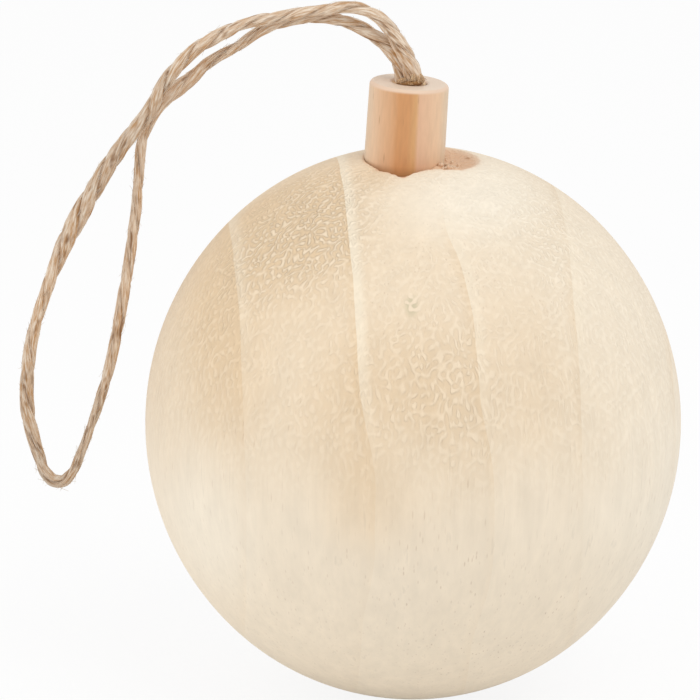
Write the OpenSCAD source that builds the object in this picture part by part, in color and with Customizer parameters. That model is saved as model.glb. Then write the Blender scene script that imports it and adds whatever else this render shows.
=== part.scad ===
// Turned wooden ball to hang up: a ball, a short dowel neck glued into its top and a loop of twine.
// The origin is the lowest point of the ball, +Z runs up the ball's axis, along the grain.

/* [Ball] */
// Diameter of the ball, across the grain
ball_d = 80; // [60:1:120]
// Extra height of the ball along the grain, over its diameter
ball_stretch = 3; // [0:0.5:8]

/* [Socket] */
// Diameter of the hole drilled into the top of the ball
socket_d = 17.4; // [15:0.2:24]
// Depth of the socket's flat floor below the top of the ball
socket_depth = 7; // [5:0.5:12]
// Width of the edge broken round the socket's mouth
socket_break = 0.3; // [0.1:0.1:0.8]

/* [Neck] */
// Diameter of the dowel that stands in the socket
neck_d = 12; // [10:0.5:14]
// Height of the dowel's top above the top of the ball
neck_rise = 10.6; // [8:0.2:20]
// Angle in degrees by which the dowel leans off the ball's axis
neck_lean = 1.5; // [0:0.5:4]
// Radius of the rounded edge round the dowel's top
neck_edge_r = 0.9; // [0.4:0.1:1.5]
// Glue gap between the dowel's foot and the socket's wall
neck_gap = 0.1; // [0.05:0.05:0.3]

/* [Cord] */
// Thickness of the twine
cord_d = 1.8; // [1.4:0.1:2.2]
// Room left beside the two strands in the dowel's bore
cord_slack = 1.6; // [1.2:0.1:2]
// Width of the bevel round the bore's mouth
mouth_bevel = 0.4; // [0.2:0.1:0.8]

/* [Knot] */
// How much wider than the bore the knot is, so that it can't pull through
knot_lap = 1.8; // [1.2:0.1:2.4]
// Height of the knot, along the dowel
knot_h = 5.5; // [4:0.5:7]
// Clear space round and under the knot in its recess
knot_gap = 0.5; // [0.3:0.1:0.8]

/* [Hidden] */
$fn = 96;
overrun = 1;

// The ball's outline is an oval of tangent arcs: round caps at both poles, a flatter arc at the waist.
ball_r = ball_d / 2;
ball_h = ball_d + ball_stretch;
arc_shift = (ball_h / 2 - ball_r) / (2 - sqrt(2));
cap_r = ball_h / 2 - arc_shift;
waist_r = ball_r + arc_shift;
waist_half_h = waist_r * sin(45);

// The socket's wall meets the upper cap at its rim.
socket_r = socket_d / 2;
floor_z = ball_h - socket_depth;
rim_z = ball_h - cap_r + sqrt(cap_r ^ 2 - socket_r ^ 2);

// The dowel's foot is cut flush with the floor and pushed to the wall on the -X side.
neck_r = neck_d / 2;
neck_len = (socket_depth + neck_rise) / cos(neck_lean);
neck_x = neck_r / cos(neck_lean) + neck_gap - socket_r;

// A bore for both strands runs down to a wider recess that hides the knot.
cord_r = cord_d / 2;
bore_r = cord_d + cord_slack / 2;
knot_r = bore_r + knot_lap / 2;
recess_r = knot_r + knot_gap;
shoulder_h = knot_h + knot_gap;

// The two strands in the bore, as shares of the twine's thickness off the dowel's axis. They run
// straight up to a short way below the mouth.
strand_a_shares = [0.65, -0.2];
strand_b_shares = [-0.5, 0.2];
strand_a = strand_a_shares * cord_d;
strand_b = strand_b_shares * cord_d;
bend_depth = 1.5 * cord_d;

// A point at a place on the leaning dowel, given across its axis and along it from the floor.
function on_neck(across, along) = [
    neck_x + across[0] * cos(neck_lean) + along * sin(neck_lean),
    across[1],
    floor_z - across[0] * sin(neck_lean) + along * cos(neck_lean)
];

// The free loop, from the bore's mouth over the arch, down to its far bend and back behind itself,
// as places from the middle of the mouth.
mouth = on_neck([0, 0], neck_len);
loop_points = [
    [0, -1, 2.5], [-2, -1, 6], [-5, -1, 9.5], [-9.5, -1, 11], [-14.5, -1, 10.5], [-20, -1, 9],
    [-26, -1, 7.5], [-31, -1, 4.5], [-35, -1.5, 0.5], [-38.5, -1.5, -5], [-42.5, -2, -11],
    [-46.5, -2.5, -18], [-50, -3, -25], [-53, -3, -33], [-55.5, -3, -42], [-56, -2.5, -50],
    [-54, -2, -58], [-52.5, -2, -61.5], [-51.5, -2, -62.5], [-50, -2, -62.5], [-49, -2, -61.5],
    [-47.5, -1.5, -58], [-45, -0.5, -50.5], [-43, 0.5, -42.5], [-41.5, 1, -33], [-40, 1, -21.5],
    [-38.5, 1, -9.5], [-36.5, 1, -5], [-32, 1, -1], [-27.5, 1, 3], [-22, 1, 6.5], [-16, 1, 8.5],
    [-10.5, 1, 8.5], [-6, 1, 6.5], [-3, 1, 4], [-1.5, 0.5, 1.5]
];
route = concat(
    [on_neck(strand_a, shoulder_h), on_neck(strand_a, neck_len - bend_depth)],
    [for (p = loop_points) mouth + p],
    [on_neck(strand_b, neck_len - bend_depth), on_neck(strand_b, shoulder_h)]
);
route_last = len(route) - 1;
ring_sides = 8;
rings_per_span = 2;

// A smooth curve through the route's points, with its direction at each place.
function span(i) = norm(route[i + 1] - route[i]);
function chord(i) = (route[i + 1] - route[i]) / span(i);
function tangent(i) =
    i == 0 ? chord(0) :
    i == route_last ? chord(route_last - 1) :
    (chord(i) * span(i - 1) + chord(i - 1) * span(i)) / (span(i - 1) + span(i));
function curve_point(i, t) =
    (2 * t ^ 3 - 3 * t ^ 2 + 1) * route[i] + (3 * t ^ 2 - 2 * t ^ 3) * route[i + 1]
    + span(i) * ((t ^ 3 - 2 * t ^ 2 + t) * tangent(i) + (t ^ 3 - t ^ 2) * tangent(i + 1));
function curve_slope(i, t) =
    (6 * t - 6 * t ^ 2) * (route[i + 1] - route[i])
    + span(i) * ((3 * t ^ 2 - 4 * t + 1) * tangent(i) + (3 * t ^ 2 - 2 * t) * tangent(i + 1));
function unit(v) = v / norm(v);

// One ring of the tube, square to the curve, with its first corner towards +Y.
function ring(i, t) =
    let (heading = unit(curve_slope(i, t)))
    let (side = unit([0, 1, 0] - heading[1] * heading))
    let (other = cross(heading, side))
    [for (k = [0 : ring_sides - 1])
        let (turn = 360 * k / ring_sides)
        curve_point(i, t) + cord_r * (cos(turn) * side + sin(turn) * other)];

// Half of the ball's outline, to the right of the axis and from pole to pole.
module ball_outline() {
    intersection() {
        union() {
            translate([0, arc_shift]) circle(r = cap_r);
            translate([0, -arc_shift]) circle(r = cap_r);
            intersection() {
                translate([-arc_shift, 0]) circle(r = waist_r);
                translate([-ball_r, -waist_half_h]) square([ball_d, 2 * waist_half_h]);
            }
        }
        translate([0, -ball_h]) square([ball_d, 2 * ball_h]);
    }
}

// Puts a shape on the leaning dowel's axis, with the floor at its foot.
module at_neck() {
    translate([neck_x, 0, floor_z]) rotate([0, neck_lean, 0]) children();
}

// Half of the dowel's outline, with its rounded top edge.
module dowel_outline() {
    translate([0, -neck_r]) square([neck_r, neck_r + neck_len - neck_edge_r]);
    square([neck_r - neck_edge_r, neck_len]);
    translate([neck_r - neck_edge_r, neck_len - neck_edge_r]) circle(r = neck_edge_r);
}

// The turned ball with its drilled socket and the broken edge round it.
module ball() {
    color("#f0dfc5") difference() {
        translate([0, 0, ball_h / 2]) rotate_extrude() ball_outline();
        translate([0, 0, floor_z]) cylinder(r = socket_r, h = socket_depth + overrun);
        translate([0, 0, rim_z - socket_break])
            cylinder(r1 = socket_r, r2 = socket_r + 2 * socket_break, h = 2 * socket_break);
    }
}

// The dowel neck, bored for the cord and recessed from below for its knot.
module neck() {
    color("#d8b08a") difference() {
        intersection() {
            at_neck() rotate_extrude() dowel_outline();
            translate([-ball_r, -ball_r, floor_z]) cube([ball_d, ball_d, 2 * neck_len]);
        }
        at_neck() {
            translate([0, 0, -neck_r]) cylinder(r = recess_r, h = neck_r + shoulder_h);
            cylinder(r = bore_r, h = neck_len + overrun);
            translate([0, 0, neck_len - mouth_bevel])
                cylinder(r1 = bore_r, r2 = bore_r + 2 * mouth_bevel, h = 2 * mouth_bevel);
        }
    }
}

// The knot on the cord's two ends, drawn up flat under the shoulder of the bore.
module cord_knot() {
    color("#a07a4c") at_neck() translate([0, 0, shoulder_h - knot_h]) rotate_extrude() {
        translate([0, knot_h / 2]) square([knot_r, knot_h / 2]);
        intersection() {
            translate([0, knot_h / 2]) circle(r = knot_r);
            square([knot_r, knot_h / 2]);
        }
    }
}

// The twine: one plain tube from the knot, round the loop and back to the knot.
module cord() {
    ring_points = [
        for (i = [0 : route_last - 1], s = [0 : rings_per_span - 1]) each ring(i, s / rings_per_span),
        each ring(route_last - 1, 1)
    ];
    ring_count = len(ring_points) / ring_sides;
    walls = [
        for (n = [0 : ring_count - 2], k = [0 : ring_sides - 1])
            let (a = n * ring_sides + k)
            let (b = n * ring_sides + (k + 1) % ring_sides)
            each [[a, b, a + ring_sides], [b, b + ring_sides, a + ring_sides]]
    ];
    first_cap = [for (k = [ring_sides - 1 : -1 : 0]) k];
    last_cap = [for (k = [0 : ring_sides - 1]) (ring_count - 1) * ring_sides + k];
    color("#b8905f") polyhedron(points = ring_points, faces = concat([first_cap, last_cap], walls));
}

ball();
neck();
cord_knot();
cord();
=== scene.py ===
# %% [markdown]
# # A turned wooden ball to hang up
# The object is a ball of pale paulownia, a short beech dowel glued into a socket in its top, and a loop of
# jute twine that comes out of the dowel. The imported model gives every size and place, so the lesson starts by
# loading it. All shapes below are worked out in millimetres and turned into Blender's metres in one place.

# %% Load the frame
import math
import bpy
import numpy as np
from mathutils import Matrix, Vector


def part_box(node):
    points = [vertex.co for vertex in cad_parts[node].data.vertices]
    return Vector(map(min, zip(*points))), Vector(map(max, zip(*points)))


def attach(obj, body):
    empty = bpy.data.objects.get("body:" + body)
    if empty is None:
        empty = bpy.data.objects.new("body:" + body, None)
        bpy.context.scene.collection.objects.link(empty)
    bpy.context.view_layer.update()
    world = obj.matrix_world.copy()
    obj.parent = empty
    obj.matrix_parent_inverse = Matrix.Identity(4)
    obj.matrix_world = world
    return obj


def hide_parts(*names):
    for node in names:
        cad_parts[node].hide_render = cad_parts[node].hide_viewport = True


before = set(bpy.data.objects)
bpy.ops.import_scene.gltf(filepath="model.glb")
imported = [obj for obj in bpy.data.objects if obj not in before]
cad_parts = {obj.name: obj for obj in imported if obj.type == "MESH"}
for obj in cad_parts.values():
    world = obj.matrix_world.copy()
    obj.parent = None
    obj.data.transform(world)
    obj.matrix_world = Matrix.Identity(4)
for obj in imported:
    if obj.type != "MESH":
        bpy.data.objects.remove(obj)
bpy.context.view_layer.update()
scene = bpy.context.scene
MM = 0.001
chance = np.random.default_rng(11)
print("nodes in the frame:", sorted(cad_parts))

# %% [markdown]
# ## Tools for the whole lesson
# A colour is picked from the real thing as an sRGB hex value, but shaders work with linear light, so
# one function converts it. Materials are built from nodes in code: one function adds a node, sets its
# properties and links its inputs, which keeps each material readable from top to bottom.

# %% Colours and nodes
def linear(hex_colour):
    """An sRGB hex colour as linear red, green, blue and alpha."""
    shares = [int(hex_colour[i:i + 2], 16) / 255 for i in (1, 3, 5)]
    return [c / 12.92 if c <= 0.04045 else ((c + 0.055) / 1.055) ** 2.4 for c in shares] + [1]


def add(tree, kind, inputs=None, **settings):
    """Adds a node. An input is a plain value, a hex colour, a socket, or a node, whose first working output
    is then used."""
    node = tree.nodes.new("ShaderNode" + kind)
    for name, value in settings.items():
        setattr(node, name, value)
    for socket, value in (inputs or {}).items():
        if isinstance(value, bpy.types.Node):
            value = next(output for output in value.outputs if output.enabled)
        if isinstance(value, bpy.types.NodeSocket):
            tree.links.new(value, node.inputs[socket])
        else:
            node.inputs[socket].default_value = linear(value) if isinstance(value, str) else value
    return node


def new_material(name):
    """An empty node material and its tree."""
    material = bpy.data.materials.new(name)
    material.use_nodes = True
    material.node_tree.nodes.clear()
    return material, material.node_tree


print("cream as linear light:", [round(c, 3) for c in linear("#f0e0c6")])

# %% [markdown]
# Wood and twine are both made of fibres that run one way, so every pattern on them is drawn out along the
# third axis: soft noise for streaks, and small cells whose middles become short ticks.

# %% Patterns along the grain
def object_place(tree):
    """An object's texture coordinates, and the place on it in millimetres."""
    texture = add(tree, "TexCoord")
    metres = texture.outputs["Object"]
    return texture, add(tree, "VectorMath", {0: metres, "Scale": 1 / MM}, operation="SCALE")


def grain_noise(tree, place, scale, long, wide=1.0, detail=2.0):
    """Soft noise on a place that is squeezed along the grain, so that the noise is drawn out that way."""
    space = add(tree, "VectorMath", {0: place, 1: (wide, wide, 1 / long)}, operation="MULTIPLY")
    return add(tree, "TexNoise", {"Vector": space, "Scale": scale, "Detail": detail})


def grain_ticks(tree, place, gap, long, edge, core, spared, depth):
    """Short ticks along the grain, one to each gap. They fade in from their edge to their core, a share of
    them is spared, and the others have depths of their own."""
    space = add(tree, "VectorMath", {0: place, 1: (1, 1, 1 / long)}, operation="MULTIPLY")
    cells = add(tree, "TexVoronoi", {"Vector": space, "Scale": 1 / gap})
    tick = add(tree, "MapRange", {"Value": cells, "From Min": edge, "From Max": core})
    own = add(tree, "SeparateColor", {0: cells.outputs["Color"]})
    own = add(tree, "MapRange", {"Value": own, "From Min": spared, "To Max": depth})
    return add(tree, "Math", {0: tick, 1: own}, operation="MULTIPLY")


# %% [markdown]
# Every piece here is a grid of points bent into shape: rings of points, each ring joined to the next. So one
# function makes the faces between rings, and one turns points and faces into a piece of the object.

# %% Rings to meshes
def ring_faces(ring_count, sides, first=0, caps=True, joined=False):
    """Quads between rings of points, each ring stored after the last. Caps close the ends of a tube, and
    joined closes the last ring onto the first."""
    rows = np.arange(ring_count if joined else ring_count - 1)[:, None] * sides
    here = np.arange(sides)[None, :]
    after = (here + 1) % sides
    above = (rows + sides) % (ring_count * sides)
    quads = np.stack([rows + here, rows + after, above + after, above + here], axis=-1)
    faces = (quads.reshape(-1, 4) + first).tolist()
    if caps and not joined:
        faces.append([first + k for k in reversed(range(sides))])
        faces.append([first + (ring_count - 1) * sides + k for k in range(sides)])
    return faces


def full_turn(count):
    """Evenly spaced angles once round."""
    return np.linspace(0, 2 * math.pi, count, endpoint=False)


def make_piece(name, points, faces, material, node=None, place=Matrix()):
    """A smooth mesh piece from points in millimetres, put in its place. It rides with the object, and stands
    for a CAD node where one is named."""
    mesh = bpy.data.meshes.new(name)
    mesh.from_pydata((np.asarray(points).reshape(-1, 3) * MM).tolist(), [], faces)
    mesh.polygons.foreach_set("use_smooth", [True] * len(mesh.polygons))
    mesh.materials.append(material)
    piece = bpy.data.objects.new(name, mesh)
    piece.matrix_world = place
    scene.collection.objects.link(piece)
    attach(piece, "root")
    if node:
        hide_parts(node)
    mesh.calc_loop_triangles()
    print(f"{name}: {len(mesh.vertices)} points, {len(mesh.loop_triangles)} triangles")
    return piece


def keep_number(piece, name, values):
    """Stores one number for each point of a piece, for its material to read."""
    store = piece.data.attributes.new(name, "FLOAT", "POINT")
    store.data.foreach_set("value", values.astype(np.float32).ravel())


def slow_noise(places, spacing, height):
    """A seeded, gently changing number for each place along a line, with a new value every spacing."""
    knots = np.arange(places.min() - 2 * spacing, places.max() + 3 * spacing, spacing)
    values = chance.uniform(-height, height, len(knots))
    smooth = np.convolve(values, [0.25, 0.5, 0.25], mode="same")
    return np.interp(places, knots, smooth)


# %% [markdown]
# ## The camera
# The photograph looks slightly down on the ball with a long lens from about an arm's length and a half, so
# the outline hardly narrows with distance. The camera is aimed at the middle of the picture and then rolled
# a little, because the real ball leans to the right in its picture.

# %% Camera at the photograph's angle
camera_reach = 900
camera_rise = math.radians(15.24)
camera_roll = math.radians(1.47)
camera_aim = np.array([-9.69, 0, 52.44])
camera_lens = 310.6
sensor_width = 36

camera_data = bpy.data.cameras.new("photo_camera")
camera_data.lens = camera_lens
camera_data.sensor_width = sensor_width
camera = bpy.data.objects.new("photo_camera", camera_data)
towards_camera = np.array([0, -math.cos(camera_rise), math.sin(camera_rise)])
camera.location = (camera_aim + camera_reach * towards_camera) * MM
level_turn = Matrix.Rotation(math.radians(90) - camera_rise, 4, "X")
camera.rotation_euler = (level_turn @ Matrix.Rotation(camera_roll, 4, "Z")).to_euler()
scene.collection.objects.link(camera)
scene.camera = camera
print("camera at", [round(c, 3) for c in camera.location])

# %% [markdown]
# ## Sizes shared by the pieces
# The dowel leans by a degree and a half in a socket that is wider than it is, and is pushed to the socket's
# left wall. The twine, its knot and the dowel all follow that leaning axis, so one function gives a place on
# it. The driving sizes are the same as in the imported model.

# %% The leaning dowel's axis
ball_across = 80
ball_tall = 83
socket_r = 8.7
socket_depth = 7
neck_r = 6
neck_rise = 10.6
neck_lean = math.radians(1.5)
neck_gap = 0.1
socket_floor = ball_tall - socket_depth
neck_long = (socket_depth + neck_rise) / math.cos(neck_lean)
neck_x = neck_r / math.cos(neck_lean) + neck_gap - socket_r


def on_neck(across_x, across_y, along):
    """A place on the leaning dowel, across its axis and along it from the socket's floor."""
    return np.array([
        neck_x + across_x * math.cos(neck_lean) + along * math.sin(neck_lean),
        across_y,
        socket_floor - across_x * math.sin(neck_lean) + along * math.cos(neck_lean),
    ])


mouth = on_neck(0, 0, neck_long)
neck_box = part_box("neck")
print("mouth of the bore at", mouth.round(2), "mm; the dowel's box tops out at", round(neck_box[1].z / MM, 2))

# %% [markdown]
# ## The twine's route
# Jute is stiff for its thickness, so the loop stands up out of the bore, arches over and falls to the left
# by itself. It is one length of twine: up from the knot, round the loop and back down beside itself. The
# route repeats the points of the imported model, and the same smooth curve runs through them.

# %% Route and curve
shoulder_h = 6.0
bend_depth = 2.7
strand_a = (1.17, -0.36)
strand_b = (-0.9, 0.36)
loop_points = [
    [0, -1, 2.5], [-2, -1, 6], [-5, -1, 9.5], [-9.5, -1, 11], [-14.5, -1, 10.5], [-20, -1, 9],
    [-26, -1, 7.5], [-31, -1, 4.5], [-35, -1.5, 0.5], [-38.5, -1.5, -5], [-42.5, -2, -11],
    [-46.5, -2.5, -18], [-50, -3, -25], [-53, -3, -33], [-55.5, -3, -42], [-56, -2.5, -50],
    [-54, -2, -58], [-52.5, -2, -61.5], [-51.5, -2, -62.5], [-50, -2, -62.5], [-49, -2, -61.5],
    [-47.5, -1.5, -58], [-45, -0.5, -50.5], [-43, 0.5, -42.5], [-41.5, 1, -33], [-40, 1, -21.5],
    [-38.5, 1, -9.5], [-36.5, 1, -5], [-32, 1, -1], [-27.5, 1, 3], [-22, 1, 6.5], [-16, 1, 8.5],
    [-10.5, 1, 8.5], [-6, 1, 6.5], [-3, 1, 4], [-1.5, 0.5, 1.5],
]
route = np.vstack([
    on_neck(*strand_a, shoulder_h),
    on_neck(*strand_a, neck_long - bend_depth),
    mouth + np.array(loop_points),
    on_neck(*strand_b, neck_long - bend_depth),
    on_neck(*strand_b, shoulder_h),
])
steps_per_span = 40


def smooth_curve(points, step):
    """A smooth curve through the points, as evenly spaced places and their distances along it."""
    chords = np.diff(points, axis=0)
    spans = np.linalg.norm(chords, axis=1, keepdims=True)
    headings = chords / spans
    bends = (headings[1:] * spans[:-1] + headings[:-1] * spans[1:]) / (spans[:-1] + spans[1:])
    slopes = np.vstack([headings[:1], bends, headings[-1:]])
    t = np.linspace(0, 1, steps_per_span, endpoint=False)[None, :, None]
    start, stop = points[:-1, None], points[1:, None]
    out, into = (spans * slopes[:-1])[:, None], (spans * slopes[1:])[:, None]
    line = (
        (2 * t**3 - 3 * t**2 + 1) * start + (3 * t**2 - 2 * t**3) * stop
        + (t**3 - 2 * t**2 + t) * out + (t**3 - t**2) * into
    )
    line = np.vstack([line.reshape(-1, 3), points[-1:]])
    run = np.concatenate([[0], np.cumsum(np.linalg.norm(np.diff(line, axis=0), axis=1))])
    even = np.linspace(0, run[-1], round(run[-1] / step) + 1)
    return np.stack([np.interp(even, run, line[:, axis]) for axis in range(3)], axis=1), even


ring_step = 0.3
twine_line, twine_run = smooth_curve(route, ring_step)
mouth_run = neck_long - shoulder_h
# The real twine lies a little off the smooth route: a run along it, a reach, and a shift in x and z.
settles = [
    (19, 6, 0.5, 0), (25, 3.5, 0, 0.4), (31, 3, 0, -0.2), (40, 3.5, 0, 0.35), (63.5, 4.5, 0.62, 0),
    (111, 11, 0.55, 0), (126, 4, 0, 0.5), (160, 22, 0.16, 0), (182.5, 4, -0.45, 0), (191, 3, -0.2, 0.1),
    (196, 5, -0.2, 0.28), (201.5, 3, 0, -0.3), (206, 3, 0, 0.25), (213, 8, 0, 0.36), (223, 5, 0.2, 0.3),
    (226, 3, 0.3, 0), (230, 5, 0.4, 0),
]
for settle_run, reach, shift_x, shift_z in settles:
    weight = np.exp(-(((twine_run - settle_run) / reach) ** 2))
    twine_line[:, 0] += shift_x * weight
    twine_line[:, 2] += shift_z * weight
print(f"twine: {twine_run[-1]:.1f} mm long, {len(twine_line)} rings")

# %% [markdown]
# ## Two plies with a twist
# Real twine is two spun plies laid round each other in an S twist. A plain tube with a striped texture would
# lose the dents in its outline, so each ply is swept as its own tube that winds round the route. A direction
# carried along the curve without turning gives an even twist, and the thickness follows the real twine, which
# is fat where it comes out of the bore and thin on the inner side of the loop.

# %% Lay and thickness
# The length of one full turn of the plies: a run along the twine, and the length there.
lay_along = np.array([[0, 9], [40, 10], [75, 12], [95, 15], [180, 15], [205, 11], [242, 9]])
ply_sides = 40
ply_offset_share = 0.19
ply_depth_share = 0.315
ply_width_share = 0.435
ridge_counts = (5, 9, 14)
ridge_height = 0.045
# The twine's thickness: a run along it, and the thickness there.
thickness_along = np.array([
    [0, 2.4], [11, 2.7], [14, 2.7], [18, 2.3], [22, 1.9], [25, 1.75], [32, 1.7], [40, 1.8],
    [43, 1.55], [46, 1.9], [54, 1.85], [62, 2.0], [70, 2.2], [78, 2.6], [82, 2.8], [86, 2.45],
    [90, 2.0], [94, 1.7], [106, 1.85], [113, 2.1], [122, 1.75], [126, 1.9], [130, 1.4], [134, 1.25],
    [142, 1.5], [150, 1.75], [158, 1.7], [166, 1.55], [178, 1.45], [187, 1.65], [191, 2.25], [194, 1.8],
    [197, 1.7], [202, 1.45], [208, 1.65], [215, 1.7], [225, 2.0], [230, 2.4], [242, 2.4],
])
# Hand-fed yarn is uneven: the length after which it changes, and by how much, for the way the plies wind, for
# the fibre ridges' drift and for the thickness.
wind_wobble, ridge_drift, slubs = (5, 0.5), (3, 1.6), (2.5, 0.14)
# The fibres in a ply are spun the other way, by this share, so they lie nearly straight along the twine.
back_spin = 0.85
ply_apart = 7
never_along = (0.3, 0.9, 0.2)
print("one turn of the plies takes", lay_along[:, 1].min(), "to", lay_along[:, 1].max(), "mm")


# %% Sweep the plies
def carried_frame(line):
    """The heading at each place of a line, and two directions square to it that never twist."""
    headings = np.gradient(line, axis=0)
    headings /= np.linalg.norm(headings, axis=1, keepdims=True)
    side = np.cross(headings[0], never_along)
    sides = []
    for heading in headings:
        side = side - heading * (side @ heading)
        side = side / np.linalg.norm(side)
        sides.append(side)
    return headings, np.array(sides), np.cross(headings, sides)


def ply_rings(line, run, thickness, ply, frame_along):
    """The points of one ply as rings, and the place of each point among its fibres."""
    headings, sides, others = frame_along
    lay = np.interp(run, lay_along[:, 0], lay_along[:, 1])
    twist = np.cumsum(2 * math.pi * np.gradient(run) / lay)
    wind = ply * math.pi - twist + slow_noise(run, *wind_wobble)
    out = np.cos(wind)[:, None] * sides + np.sin(wind)[:, None] * others
    along = np.cross(headings, out)
    around = full_turn(ply_sides)[None, :]
    fibre = around - back_spin * twist[:, None]
    ridges = np.ones_like(fibre)
    for count in ridge_counts:
        drift = slow_noise(run, *ridge_drift)[:, None] + chance.uniform(0, 2 * math.pi)
        ridges += ridge_height * np.cos(count * fibre + drift)
    swell = (thickness * (1 + slow_noise(run, *slubs)))[:, None] * ridges
    points = (
        line[:, None] + ply_offset_share * (thickness[:, None] * out)[:, None]
        + (ply_depth_share * swell * np.cos(around))[:, :, None] * out[:, None]
        + (ply_width_share * swell * np.sin(around))[:, :, None] * along[:, None]
    )
    runs = np.repeat(run[:, None], ply_sides, 1)
    return points, np.stack([np.cos(fibre), np.sin(fibre) + ply_apart * ply, runs], axis=-1)


def twine_mesh(line, run, thickness):
    """Points, faces and fibre places of a two-ply twine along a line."""
    frame_along = carried_frame(line)
    plies = [ply_rings(line, run, thickness, ply, frame_along) for ply in (0, 1)]
    points = np.concatenate([p.reshape(-1, 3) for p, _ in plies])
    spread = np.concatenate([s.reshape(-1, 3) for _, s in plies])
    faces = [
        face for ply in (0, 1)
        for face in ring_faces(len(line), ply_sides, first=ply * len(line) * ply_sides)
    ]
    return points, faces, spread


def keep_fibres(piece, spread):
    """Stores each point's place among the fibres, for the jute's streaks."""
    store = piece.data.attributes.new("fibre_place", "FLOAT_VECTOR", "POINT")
    store.data.foreach_set("vector", spread.astype(np.float32).ravel())


twine_thick = np.interp(twine_run, thickness_along[:, 0], thickness_along[:, 1])
twine_points, twine_faces, twine_spread = twine_mesh(twine_line, twine_run, twine_thick)
# The side of a ply that is turned to the other ply is the groove: it is darkened partly as dust and partly as
# painted shade.
groove_lead, groove_span = 0.1, 0.8
inward = -np.cos(full_turn(ply_sides))
twine_groove = np.tile(np.clip((inward + groove_lead) / groove_span, 0, 1), 2 * len(twine_line))
print(f"twine is {twine_thick.min():.2f} to {twine_thick.max():.2f} mm thick, mean {twine_thick.mean():.2f}")

# %% [markdown]
# ## Jute
# Natural jute is a bundle of coarse golden-brown bast fibres, spun raw. It is matt, darker in the groove
# between the plies, partly from dust and partly from painted shade, and streaked along the fibres because each
# one has its own brown. The streaks follow a stored place among the fibres, so they run with the twist and not
# across it.

# %% Jute material
# The far bend and a stretch round a run of 70 mm are darker: a run along the twine, a reach, and the share
# of light that is left.
far_bend_run = twine_run[np.argmin(twine_line[:, 2])]
darker_stretches = [(far_bend_run, 30, 0.82), (70, 22, 0.86)]
darker_core = 5
# How dark the groove is painted: partly dust, partly painted shade.
groove_dust_and_shade = 0.34
# Each pattern's length along the twine in millimetres, and how finely it changes round a ply.
streak_long, streaks_round = 6.0, 3.4
tone_long, tones_round = 9.0, 0.45
spot_long, spots_round = 3.0, 0.9


def jute(name, dark, middle, golden, pale):
    """Raw bast fibre, spun and neither dyed nor polished: matt, with a faint sheen off the fibre ends."""
    material, tree = new_material(name)
    place = add(tree, "Attribute", attribute_name="fibre_place").outputs["Vector"]
    tones = grain_noise(tree, place, 1.0, tone_long, tones_round, detail=1.0)
    tones = add(tree, "MapRange", {"Value": tones, "From Min": 0.38, "From Max": 0.64})
    streaks = grain_noise(tree, place, streaks_round, streak_long, detail=3.0)
    light = add(tree, "MapRange", {"Value": streaks, "From Min": 0.34, "From Max": 0.66})
    spots = grain_noise(tree, place, 1.0, spot_long, spots_round)
    spots = add(tree, "MapRange", {"Value": spots, "From Min": 0.57, "From Max": 0.74, "To Max": 0.85})
    # The groove is darkened: partly dust, partly painted shade.
    groove = add(tree, "Attribute", attribute_name="groove").outputs["Fac"]
    groove = add(tree, "Math", {0: groove, 1: groove_dust_and_shade}, operation="MULTIPLY")
    colour = middle
    for share, over in ((tones, golden), (light, pale), (spots, dark), (groove, dark)):
        colour = add(tree, "Mix", {0: share, 6: colour, 7: over}, data_type="RGBA")
    run = add(tree, "SeparateXYZ", {0: place}).outputs["Z"]
    for middle_run, reach, share in darker_stretches:
        off = add(tree, "Math", {0: run, 1: middle_run}, operation="SUBTRACT")
        off = add(tree, "Math", {0: off}, operation="ABSOLUTE")
        limits = {"From Min": darker_core, "From Max": reach, "To Min": share}
        darkened = add(tree, "MapRange", {"Value": off, **limits})
        colour = add(tree, "VectorMath", {0: colour, "Scale": darkened}, operation="SCALE")
    relief = add(tree, "Bump", {"Height": streaks, "Strength": 0.5, "Distance": 0.08 * MM})
    surface = add(tree, "BsdfPrincipled", {
        "Base Color": colour, "Normal": relief, "Roughness": 0.85, "IOR": 1.53,
        "Specular IOR Level": 0.3, "Sheen Weight": 0.15, "Sheen Roughness": 0.5,
    })
    add(tree, "OutputMaterial", {"Surface": surface})
    return material


spun_jute = jute("jute_spun", "#7f5328", "#c9a786", "#ba8a57", "#ecdcc8")
twine = make_piece("jute_twine", twine_points, twine_faces, spun_jute, node="cord")
keep_fibres(twine, twine_spread)
keep_number(twine, "groove", twine_groove)

# %% [markdown]
# ## Loose fibres
# Spun jute is never clean: short fibre ends stand off the twine all along it and catch the light as a pale
# fuzz. Hair particles would be lost from the meshes, so each fibre is a thin three-sided tube, bent a little
# and leaning along the twine. A fibre is thinner than a pixel, so these are drawn a little thick to show.

# %% Thin fibres
fibre_steps = np.linspace(0, 1, 6)[:, None]
fibre_sides = 3
fibre_taper = 0.6
fibre_tones = 30
off_fibre = (0.3, 0.5, 0.8)


def fibre_piece(name, spines, material, thick):
    """A piece of thin three-sided tubes that taper along their spines, each with a tone of its own."""
    corners = np.arange(fibre_sides) * 2 * math.pi / fibre_sides
    width = thick * (1 - fibre_taper * fibre_steps)
    size = fibre_sides * len(fibre_steps)
    points, spread = [], []
    for spine in spines:
        forward = spine[-1] - spine[0]
        first = np.cross(forward, off_fibre)
        first /= np.linalg.norm(first)
        second = np.cross(forward, first) / np.linalg.norm(forward)
        turned = np.cos(corners)[:, None] * first + np.sin(corners)[:, None] * second
        points.append(spine[:, None] + width[:, :, None] * turned)
        spread.append(np.tile(chance.uniform(0, fibre_tones, 3), (size, 1)))
    firsts = range(0, len(spines) * size, size)
    faces = [face for first in firsts for face in ring_faces(len(fibre_steps), fibre_sides, first)]
    piece = make_piece(name, points, faces, material)
    keep_fibres(piece, np.concatenate(spread))
    return piece


# %% Fuzz on the twine
fuzz_count = 800
fuzz_thick = 0.045
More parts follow.
